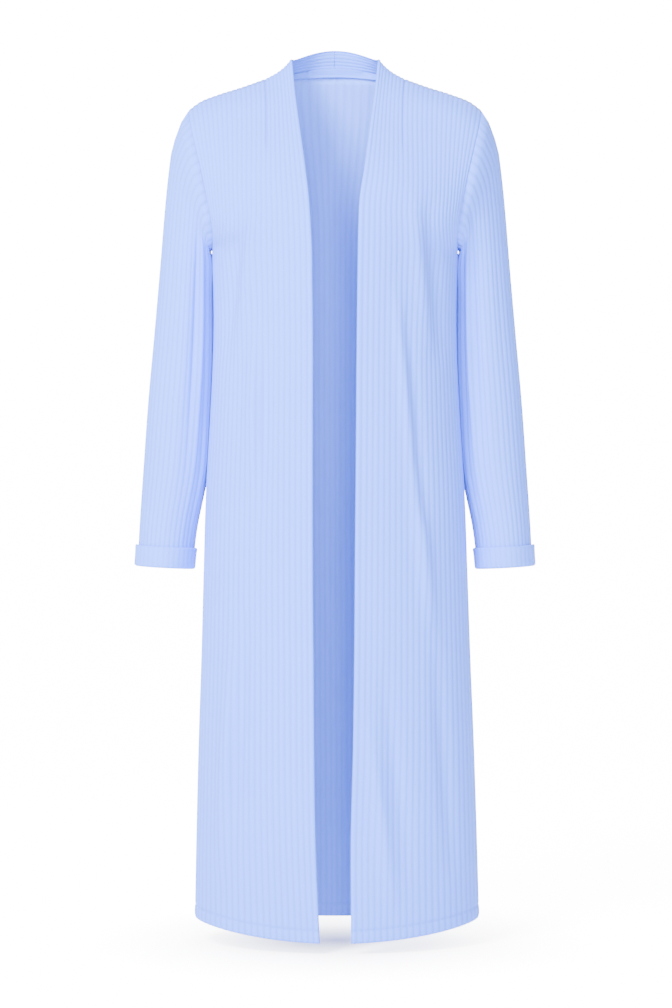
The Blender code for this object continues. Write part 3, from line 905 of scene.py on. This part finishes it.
@dataclass(frozen=True)
class Front(Panel):
    """One front with its half of the collar, folds, dart and edge.

    Attributes:
        side: side of the wearer.
        bust: its rounding over the bust.
        fold_gain: how strongly the folds of the table stand out.
        rim_height: how far the turned front edge stands out.
        rim_place: distance of that rim from the edge.
        rim_width: half width of the rim.
        edge_dip: how far the edge itself is rounded in.
        edge_width: half width of that rounding.
        dart_end: height where the neck dart ends.
        dart_fade: length over which it fades.
        dart_dip: depth of the dart's seam.
        dart_width: half width of the dart's seam.
        dart_shade: how much painted shade darkens the dart's seam.
        flat: flat size of the cloth.
        area: area of the cloth, not used.
    """

    side: Side = Side.LEFT
    bust: Bust = Bust()
    fold_gain: float = 2.6
    rim_height: float = 0.0007
    rim_place: float = 0.003
    rim_width: float = 0.002
    edge_dip: float = 0.0004
    edge_width: float = 0.0035
    dart_end: float = -0.108
    dart_fade: float = 0.02
    dart_dip: float = 0.0013
    dart_width: float = 0.0016
    dart_shade: float = 0.9
    flat: Tuple[float, float] = (0.28, 1.20)
    area: float = 0.235

    def rim(self, from_edge: np.ndarray) -> np.ndarray:
        """Rim of the turned front edge, from the distance to it."""
        return self.rim_height * bell(from_edge - self.rim_place, self.rim_width)

    def main(self, grid: np.ndarray, shape: np.ndarray) -> Tuple[np.ndarray, np.ndarray]:
        """Push the main panel: ribs, hem, folds, bust, front edge, side seam and dart.

        Args:
            grid: points of the main panel.
            shape: rib height across a row.

        Returns:
            The pushed grid, and its mask of painted shade.
        """
        push, groove = self.hem(grid, shape)
        across, height = np.abs(grid[..., 0]), grid[..., 2]
        for fold in FRONT_FOLDS[self.side]:
            push += self.fold_gain * fold.push(across, height)
        from_edge = running_length(grid, 1)
        push += self.bust.push(across, height) + self.rim(from_edge)
        push -= self.edge_dip * bell(from_edge, self.edge_width)
        push -= self.seam(from_edge[:, -1:] - from_edge)
        column = COLLAR_RIBS * CLOTH.columns_per_rib
        there = np.clip((height[:, column] - self.dart_end) / self.dart_fade, 0, 1)[:, None]
        dart = there * bell(np.abs(from_edge - from_edge[:, column:column + 1]), self.dart_width)
        push -= self.dart_dip * dart
        out = grid + normals_of(grid, float(self.side.value)) * push[..., None]
        # Painted shade along the dart's seam, on top of the rib grooves
        return out, np.clip(groove + self.dart_shade * dart, 0, 1)

    def collar(self, grid: np.ndarray, shape: np.ndarray) -> Tuple[np.ndarray, np.ndarray]:
        """Push the collar: ribs, top edge, foot and the seam at the centre back.

        Args:
            grid: points of the collar.
            shape: rib height across a row.

        Returns:
            The pushed grid, and its mask of painted shade.
        """
        push, groove = self.ribs(len(grid), shape)
        from_top, from_side = running_length(grid, 1), running_length(grid, 0)
        push += self.rim(from_top)
        push -= self.seam(from_top[:, -1:] - from_top) + self.seam(from_side[-1:] - from_side)
        return grid + normals_of(grid, float(self.side.value)) * push[..., None], groove

    def build(self, maker: Maker) -> Tuple[np.ndarray, np.ndarray]:
        """Make the front.

        Args:
            maker: maker of pieces.

        Returns:
            Its main grid and its collar grid, with all pushes in them.
        """
        control, collar = Torso(self.side).front()
        grid = densify(control, hem=True)
        shape = rib_shape(grid.shape[1] - 1)
        width = COLLAR_RIBS * CLOTH.columns_per_rib + 1
        main_out, groove = self.main(grid, shape)
        collar_out, collar_groove = self.collar(collar, shape[:width])
        main_out[-1, :width] = collar_out[0] = (main_out[-1, :width] + collar_out[0]) / 2
        rows, columns = main_out.shape[:2]
        flip = self.side is Side.RIGHT
        extra = collar_out[1:].reshape(-1, 3)
        index = np.concatenate([
            (rows - 1) * columns + np.arange(width)[None, :],
            rows * columns + np.arange(len(extra)).reshape(-1, width),
        ])
        uv = np.stack([running_length(grid, 1), running_length(grid, 0)], axis=-1)
        uv_more = np.stack([running_length(collar, 1), self.flat[1] + running_length(collar, 0)],
                           axis=-1)[1:]
        sheet = Sheet(
            points=np.concatenate([main_out.reshape(-1, 3), extra]),
            groove=np.concatenate([groove.ravel(), collar_groove[1:].ravel()]),
            faces=np.concatenate([grid_faces(rows, columns, flip), index_faces(index, flip)]),
            uv=np.concatenate([uv.reshape(-1, 2), uv_more.reshape(-1, 2)]),
        )
        piece = maker.shell("front_" + self.side.name.lower(), sheet, Finish.CLOTH)
        return main_out, collar_out


@dataclass(frozen=True)
class Back(Panel):
    """The back, one panel from side seam to side seam.

    Attributes:
        flat: flat size of the cloth, not used.
        area: area of the cloth, not used.
    """

    flat: Tuple[float, float] = (0.48, 1.13)
    area: float = 0.485

    def build(self, maker: Maker) -> np.ndarray:
        """Make the back.

        Args:
            maker: maker of pieces.

        Returns:
            Its grid, with all pushes in it.
        """
        right, left = Torso(Side.RIGHT).back(), Torso(Side.LEFT).back()
        middle = (right[:, :1] + left[:, :1]) / 2
        grid = densify(np.concatenate([right[:, :0:-1], middle, left[:, 1:]], axis=1), hem=True)
        push, groove = self.hem(grid, rib_shape(grid.shape[1] - 1))
        across = running_length(grid, 1)
        push -= self.seam(across) + self.seam(across[:, -1:] - across)
        out = grid + normals_of(grid, -1.0) * push[..., None]
        sheet = Sheet(
            points=out.reshape(-1, 3),
            groove=groove.ravel(),
            faces=grid_faces(*out.shape[:2], flip=True),
            uv=np.stack([across, running_length(grid, 0)], axis=-1).reshape(-1, 2),
        )
        # The back wears the jersey copy coloured for the inside's shade
        piece = maker.shell("back", sheet, Finish.INSIDE)
        return out


@dataclass(frozen=True)
class Sleeve(Panel):
    """One sleeve with its ribs and creases.

    Attributes:
        side: side of the wearer.
        armhole_width: half width of the draw-in at the armhole.
        seam_fade: length over which the ribs start at the armhole.
        seam_share: share of the ribs that is there at the very seam.
        crease_fade: length over which the creases start.
        flat: flat size of the cloth, not used.
        area: area of the cloth, not used.
    """

    side: Side = Side.LEFT
    armhole_width: float = 0.003
    seam_fade: float = 0.004
    seam_share: float = 0.2
    crease_fade: float = 0.012
    flat: Tuple[float, float] = (0.42, 0.61)
    area: float = 0.19

    def rings(self) -> np.ndarray:
        """Control rings: centre + cos(t) arm - sin(t) depth, from the armhole down.

        Returns:
            Rings of points, the first column at the outer line and repeated at the end.
        """
        sign = float(self.side.value)
        columns = SLEEVE_RIBS * CLOTH.columns_per_rib
        armhole = np.array(ARMHOLE_ABOVE)
        tip = armhole[::-1]
        down = np.stack([sign * tip[:, 1], tip[:, 2], tip[:, 4]], axis=1)
        up = np.stack([sign * armhole[:, 1], armhole[:, 3], armhole[:, 4]], axis=1)
        pit = np.array([[sign * SLEEVE_RINGS[0][2], 0.0, ARMPIT_Z]])
        loop = np.concatenate([down, pit, up])
        run = np.concatenate([[0.0], np.cumsum(np.linalg.norm(np.diff(loop, axis=0), axis=1))])
        first = smooth(run, loop, np.linspace(0.0, run[-1], columns + 1))
        turn = 2 * np.pi * np.arange(columns + 1) / columns
        rings: List[np.ndarray] = []
        for out_x, out_z, in_x, in_z, depth, middle, _ in SLEEVE_RINGS:
            centre = np.array([sign * (out_x + in_x) / 2, middle, (out_z + in_z) / 2])
            arm = np.array([sign * (out_x - in_x) / 2, 0.0, (out_z - in_z) / 2])
            ring = centre + np.cos(turn)[:, None] * arm
            ring[:, 1] -= depth * np.sin(turn)
            rings.append(ring)
        keep = np.array(SLEEVE_RINGS)[:, -1, None, None]
        return np.array(rings) + keep * (first - rings[0])

    def creases(self, height: np.ndarray, down: np.ndarray) -> np.ndarray:
        """Push of the creases, each a bell over turn and height.

        Args:
            height: height of each point.
            down: distance of each point from the armhole.

        Returns:
            Push along the cloth's outward direction.
        """
        degrees = np.linspace(0.0, FULL_TURN, height.shape[1])[None, :]
        push = np.zeros_like(height)
        for turn, level, width, reach, depth in SLEEVE_CREASES:
            gap = np.abs((degrees - turn + FULL_TURN / 2) % FULL_TURN - FULL_TURN / 2)
            push += depth * bell(gap, width) * bell(height - level, reach)
        return push * np.clip(down / self.crease_fade, 0, 1)

    def build(self, maker: Maker) -> Tuple[np.ndarray, np.ndarray]:
        """Make the sleeve.

        Args:
            maker: maker of pieces.

        Returns:
            Its plain grid, and the grid's normals.
        """
        grid = densify(self.rings(), hem=False)
        normals = normals_of(grid, float(self.side.value), wrap=True)
        push, groove = self.ribs(len(grid), rib_shape(grid.shape[1] - 1))
        down = running_length(grid, 0)
        push -= CLOTH.seam_dip * bell(down, self.armhole_width)
        push *= np.clip(down / self.seam_fade + self.seam_share, 0, 1)
        push += self.creases(grid[..., 2], down)
        out = grid + normals * push[..., None]
        out[:, -1] = out[:, 0]
        rows, columns = out.shape[:2]
        index = np.arange(rows * (columns - 1)).reshape(rows, columns - 1)
        faces = index_faces(np.concatenate([index, index[:, :1]], axis=1),
                            flip=self.side is Side.RIGHT)
        uv = np.stack([running_length(grid, 1), down], axis=-1)
        sheet = Sheet(
            points=out[:, :-1].reshape(-1, 3),
            groove=groove[:, :-1].ravel(),
            faces=faces,
            uv=uv[:, :-1].reshape(-1, 2),
        )
        piece = maker.shell("sleeve_" + self.side.name.lower(), sheet, Finish.CLOTH)
        return grid, normals


@dataclass(frozen=True)
class Cuff:
    """One turned-up cuff round the sleeve's end.

    Attributes:
        side: side of the wearer.
        rows_up: sleeve rows between its end and the row that gives the cuff's direction.
        shown_from: distance outside the sleeve from which the cuff is seen.
        free_from: height above the end from which its edge waves up and down.
        rib_height: height of its faint ribs.
        waves: height, number of turns and start of each wave round the cuff.
        radius: mean radius, for the flat pattern.
        row_pitch: mean distance between section points, for the flat pattern.
        flat: flat size of the cloth, not used.
    """

    side: Side
    rows_up: int = 3
    shown_from: float = 0.0025
    free_from: float = 0.01
    rib_height: float = 0.0004
    waves: Tuple[Tuple[float, int, float], ...] = ((0.0004, 3, 0.7), (0.0003, 5, 0.0))
    radius: float = 0.045
    row_pitch: float = 0.004
    flat: Tuple[float, float] = (0.30, 0.032)

    def build(self, grid: np.ndarray, normals: np.ndarray, maker: Maker) -> None:
        """Make the cuff: end + up * height + outward * distance, for each section point.

        Args:
            grid: plain grid of the sleeve.
            normals: its normals.
            maker: maker of pieces.
        """
        end, above = grid[-1, :-1], grid[-1 - self.rows_up, :-1]
        up, outward = unit(above - end), normals[-1, :-1]
        count = len(end)
        turn = 2 * np.pi * np.arange(count) / count
        ribs = rib_shape(count)[:-1]
        wave = sum(depth * np.sin(turns * turn + start) for depth, turns, start in self.waves)
        outside, height = np.array(CUFF_SECTION).T[..., None]
        shown = (outside > self.shown_from).astype(float)
        lift = height + shown * wave * (height > self.free_from)
        size = outside + shown * (self.rib_height * (ribs - 0.5) + wave)
        points = end + up * lift[..., None] + outward * size[..., None]
        rows = len(points)
        index = np.arange(rows * count).reshape(rows, count)
        index = np.concatenate([index, index[:1]])
        index = np.concatenate([index, index[:, :1]], axis=1)
        around, along = np.meshgrid(turn * self.radius, np.arange(rows) * self.row_pitch)
        sheet = Sheet(
            points=points.reshape(-1, 3),
            # Painted shade in the grooves of the cuff's faint ribs
            groove=(0.5 * shown * (1 - ribs)).ravel(),
            faces=index_faces(index, flip=self.side is Side.LEFT),
            uv=np.stack([around, along], axis=-1).reshape(-1, 2),
        )
        node = "cuff_" + self.side.name.lower()
        piece = maker.mesh("cloth_" + node, sheet, Finish.CLOTH)
        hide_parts(node)


@dataclass(frozen=True)
class NeckTape:
    """The neck tape, a thin band inside the collar above the neck seam.

    Attributes:
        low: distance of its lower edge from the collar's foot.
        high: distance of its upper edge from the collar's foot.
        lines: number of mesh lines across it.
        inset: how far inside the collar's outside it lies.
        shades: painted shade across it, darkest at its sewn edges.
        thickness: wall of the tape.
        flat: flat size of the tape, not used.
    """

    low: float = 0.0010
    high: float = 0.0135
    lines: int = 6
    inset: float = 0.0031
    shades: Tuple[float, ...] = (0.9, 0.1, 0.0, 0.0, 0.1, 0.9)
    thickness: float = 0.0009
    flat: Tuple[float, float] = (0.26, 0.0135)

    def half(self, grid: np.ndarray, sign: float) -> np.ndarray:
        """One half of the tape, read on the collar's grid between its columns.

        Args:
            grid: points of the collar.
            sign: sign of the side along X.

        Returns:
            Points of the band, from the side of the neck to the centre back.
        """
        inward = -normals_of(grid, sign)
        height = np.linalg.norm(grid[:, 0] - grid[:, -1], axis=1)
        row = np.arange(len(grid))
        lines = []
        for rise in np.linspace(self.low, self.high, self.lines):
            place = (1 - rise / height) * (grid.shape[1] - 1)
            low = np.floor(place).astype(int)
            part = (place - low)[:, None]
            point = grid[row, low] * (1 - part) + grid[row, low + 1] * part
            lines.append(point + inward[row, low - CLOTH.columns_per_rib] * self.inset)
        return np.array(lines).transpose(1, 0, 2)

    def build(self, collars: Dict[Side, np.ndarray], maker: Maker) -> None:
        """Make the tape.

        Args:
            collars: collar grids of both fronts.
            maker: maker of pieces.
        """
        right = self.half(collars[Side.RIGHT], float(Side.RIGHT.value))
        left = self.half(collars[Side.LEFT], float(Side.LEFT.value))[::-1]
        strip = np.concatenate([right, left[1:]])
        uv = np.stack([running_length(strip, 0), running_length(strip, 1)], axis=-1)
        sheet = Sheet(
            points=strip.reshape(-1, 3),
            # Painted shade across the tape, darkest at its edges
            groove=np.tile(self.shades, len(strip)),
            faces=grid_faces(*strip.shape[:2], flip=True),
            uv=uv.reshape(-1, 2),
        )
        piece = maker.shell("neck_tape", sheet, Finish.CLOTH, self.thickness, offset=1.0)


@dataclass(frozen=True)
class HemStitches:
    """A row of short stitches along a hem, each a slim drop with four sides.

    Attributes:
        pitch: distance between stitches.
        length: length of a stitch.
        radius: half thickness of the thread.
        reach: distance over which a stitch's direction is read.
        rows: rows on each side from which the hem's outside is read.
    """

    pitch: float = 0.0040
    length: float = 0.0029
    radius: float = 0.00035
    reach: float = 0.001
    rows: int = 2

    def line(self, name: str, path: np.ndarray, up: np.ndarray, maker: Maker) -> None:
        """Sew one line of stitches along a path.

        Args:
            name: name of the piece.
            path: points of the line.
            up: outward directions at the points.
            maker: maker of pieces.
        """
        run = running_length(path[:, None], 0)[:, 0]
        middle = np.arange(self.pitch / 2, run[-1], self.pitch)

        def read(values: np.ndarray, at: np.ndarray) -> np.ndarray:
            """Read values along the path at some lengths."""
            return np.stack([np.interp(at, run, values[:, axis]) for axis in range(3)], axis=1)

        centre, rise = read(path, middle), unit(read(up, middle))
        along = unit(read(path, middle + self.reach) - read(path, middle - self.reach))
        beside = unit(np.cross(along, rise)) * self.radius
        rise, half = rise * self.radius, along * self.length / 2
        corners = [centre - half, centre + beside, centre + rise, centre - beside,
                   centre - rise, centre + half]
        faces = (np.array(STITCH_FACES)[None]
                 + len(corners) * np.arange(len(centre))[:, None, None])
        points = np.stack(corners, axis=1).reshape(-1, 3)
        sheet = Sheet(points=points, groove=np.zeros(len(points)), faces=faces.reshape(-1, 3),
                      uv=points[:, [0, 2]])
        maker.mesh(name, sheet, Finish.THREAD)

    def build(self, name: str, grid: np.ndarray, outward: float, maker: Maker) -> None:
        """Sew the hem's line on a panel.

        Args:
            name: name of the panel.
            grid: points of the panel.
            outward: 1 or -1, the turn to the outside.
            maker: maker of pieces.
        """
        row = int(np.argmin(np.abs(running_length(grid, 0)[:, 0] - HEM_DEPTH)))
        beside = grid[row - self.rows:row + self.rows + 1]
        self.line("stitches_hem_" + name, grid[row], normals_of(beside, outward)[self.rows], maker)


@dataclass(frozen=True)
class Lamp:
    """One square area light that looks at the garment's middle.

    Attributes:
        name: name of the light.
        place: its place.
        size: side of the square.
        power: watts.
    """

    name: str
    place: Tuple[float, float, float]
    size: float
    power: float

    def build(self) -> None:
        """Place the light."""
        data = bpy.data.lights.new(self.name, "AREA")
        data.size = self.size
        data.energy = self.power
        lamp = bpy.data.objects.new(self.name, data)
        lamp.location = self.place
        look = Vector(LOOK_AT) - Vector(self.place)
        lamp.rotation_euler = look.to_track_quat("-Z", "Y").to_euler()
        bpy.context.scene.collection.objects.link(lamp)


@dataclass(frozen=True)
class Studio:
    """Camera, soft lights and a plain pale floor that curves up into a wall; the floor glows, less
    near the garment, as a painted shadow.

    Attributes:
        lens: focal length in millimetres.
        sensor: the film's long side in millimetres.
        camera_place: place of the camera.
        lamps: the lights.
        sky: strength of the even white surroundings.
        floor_z: height of the floor.
        floor_colour: colour of floor and wall.
        floor_roughness: how matt they are.
        front_y: where the floor ends in front.
        back_y: where the wall stands.
        bend: radius of the curve between floor and wall.
        bend_steps: points along that curve.
        half_width: half width of floor and wall.
        wall_height: height of the wall.
        shade_reach: distances from the garment where the floor's glow begins and is full; the
            weaker glow nearer in paints the shadow under the garment.
        glow: strength of the glow that the camera sees.
        glow_unseen: share of it that lights the garment.
    """

    lens: float = 98.9
    sensor: float = 36.0
    camera_place: Tuple[float, float, float] = (0.0013, -3.6, -0.551)
    lamps: Tuple[Lamp, ...] = (
        Lamp("key", (-1.7, -2.4, 2.0), 1.3, 620.0),
        Lamp("front", (0.25, -4.4, -0.1), 1.4, 330.0),
    )
    sky: float = 1.1
    floor_z: float = -1.118
    floor_colour: Tuple[float, float, float, float] = (0.96, 0.96, 0.96, 1.0)
    floor_roughness: float = 0.9
    front_y: float = -8.0
    back_y: float = 4.0
    bend: float = 1.5
    bend_steps: int = 25
    half_width: float = 9.0
    wall_height: float = 9.0
    # Painted shadow on the floor under the garment reaches this far
    shade_reach: Tuple[float, float] = (-0.05, 0.40)
    glow: float = 13.0
    glow_unseen: float = 0.08

    def camera(self) -> None:
        """Place the camera level, in front of the garment."""
        data = bpy.data.cameras.new("camera")
        data.lens = self.lens
        data.sensor_width = self.sensor
        camera = bpy.data.objects.new("camera", data)
        camera.location = self.camera_place
        camera.rotation_euler = (np.pi / 2, 0.0, 0.0)
        bpy.context.scene.collection.objects.link(camera)
        bpy.context.scene.camera = camera

    def world(self) -> None:
        """Fill the surroundings with even white light."""
        world = bpy.data.worlds.new("studio")
        world.use_nodes = True
        sky = world.node_tree.nodes["Background"]
        sky.inputs["Color"].default_value = WHITE
        sky.inputs["Strength"].default_value = self.sky
        bpy.context.scene.world = world

    def floor_finish(self) -> bpy.types.Material:
        """Make the floor glow by smoothstep(distance), mostly for the camera, with a painted
        shadow near the garment where the glow fades.

        Returns:
            The material.
        """
        material = bpy.data.materials.new("floor")
        material.use_nodes = True
        nodes, links = material.node_tree.nodes, material.node_tree.links
        shader = nodes["Principled BSDF"]
        shader.inputs["Base Color"].default_value = self.floor_colour
        shader.inputs["Roughness"].default_value = self.floor_roughness
        shader.inputs["Emission Color"].default_value = WHITE
        place = nodes.new("ShaderNodeTexCoord")
        distance = nodes.new("ShaderNodeVectorMath")
        distance.operation = "LENGTH"
        # Glow rises with distance from the garment: the dark patch near it is a painted shadow
        glow = nodes.new("ShaderNodeMapRange")
        glow.interpolation_type = "SMOOTHSTEP"
        glow.inputs["From Min"].default_value = self.shade_reach[0]
        glow.inputs["From Max"].default_value = self.shade_reach[1]
        glow.inputs["To Max"].default_value = self.glow
        seen = nodes.new("ShaderNodeLightPath")
        share = nodes.new("ShaderNodeMapRange")
        share.inputs["To Min"].default_value = self.glow_unseen
        strength = nodes.new("ShaderNodeMath")
        strength.operation = "MULTIPLY"
        links.new(place.outputs["Object"], distance.inputs[0])
        links.new(distance.outputs["Value"], glow.inputs["Value"])
        links.new(seen.outputs["Is Camera Ray"], share.inputs["Value"])
        links.new(glow.outputs["Result"], strength.inputs[0])
        links.new(share.outputs["Result"], strength.inputs[1])
        links.new(strength.outputs["Value"], shader.inputs["Emission Strength"])
        return material

    def backdrop(self) -> None:
        """Make floor, quarter bend (y0 + r sin t, r (1 - cos t)) and wall."""
        turn = np.linspace(0.0, np.pi / 2, self.bend_steps)
        curve = np.stack([self.back_y - self.bend + self.bend * np.sin(turn),
                          self.bend * (1 - np.cos(turn))], axis=1)
        profile = np.concatenate([[(self.front_y, 0.0)], curve,
                                  [(self.back_y, self.wall_height)]])
        points = [(x, y, z) for y, z in profile for x in (-self.half_width, self.half_width)]
        mesh = bpy.data.meshes.new("floor")
        mesh.from_pydata(points, [], grid_faces(len(profile), 2, flip=False).tolist())
        mesh.shade_smooth()
        mesh.materials.append(self.floor_finish())
        floor = bpy.data.objects.new("floor", mesh)
        floor.location = (0.0, 0.0, self.floor_z)
        bpy.context.scene.collection.objects.link(floor)

    def build(self) -> None:
        """Set up the whole studio."""
        self.camera()
        self.world()
        self.backdrop()
        for lamp in self.lamps:
            lamp.build()


def main() -> None:
    """Dress the construction and light it."""
    logging.basicConfig(level=logging.INFO)
    Studio().build()
    maker, stitches = Maker(), HemStitches()
    collars: Dict[Side, np.ndarray] = {}
    for side in Side:
        main_grid, collars[side] = Front(side=side).build(maker)
        stitches.build(side.name.lower(), main_grid, float(side.value), maker)
        grid, normals = Sleeve(side=side).build(maker)
        Cuff(side).build(grid, normals, maker)
    stitches.build("back", Back().build(maker), -1.0, maker)
    NeckTape().build(collars, maker)


if __name__ == "__main__":
    main()
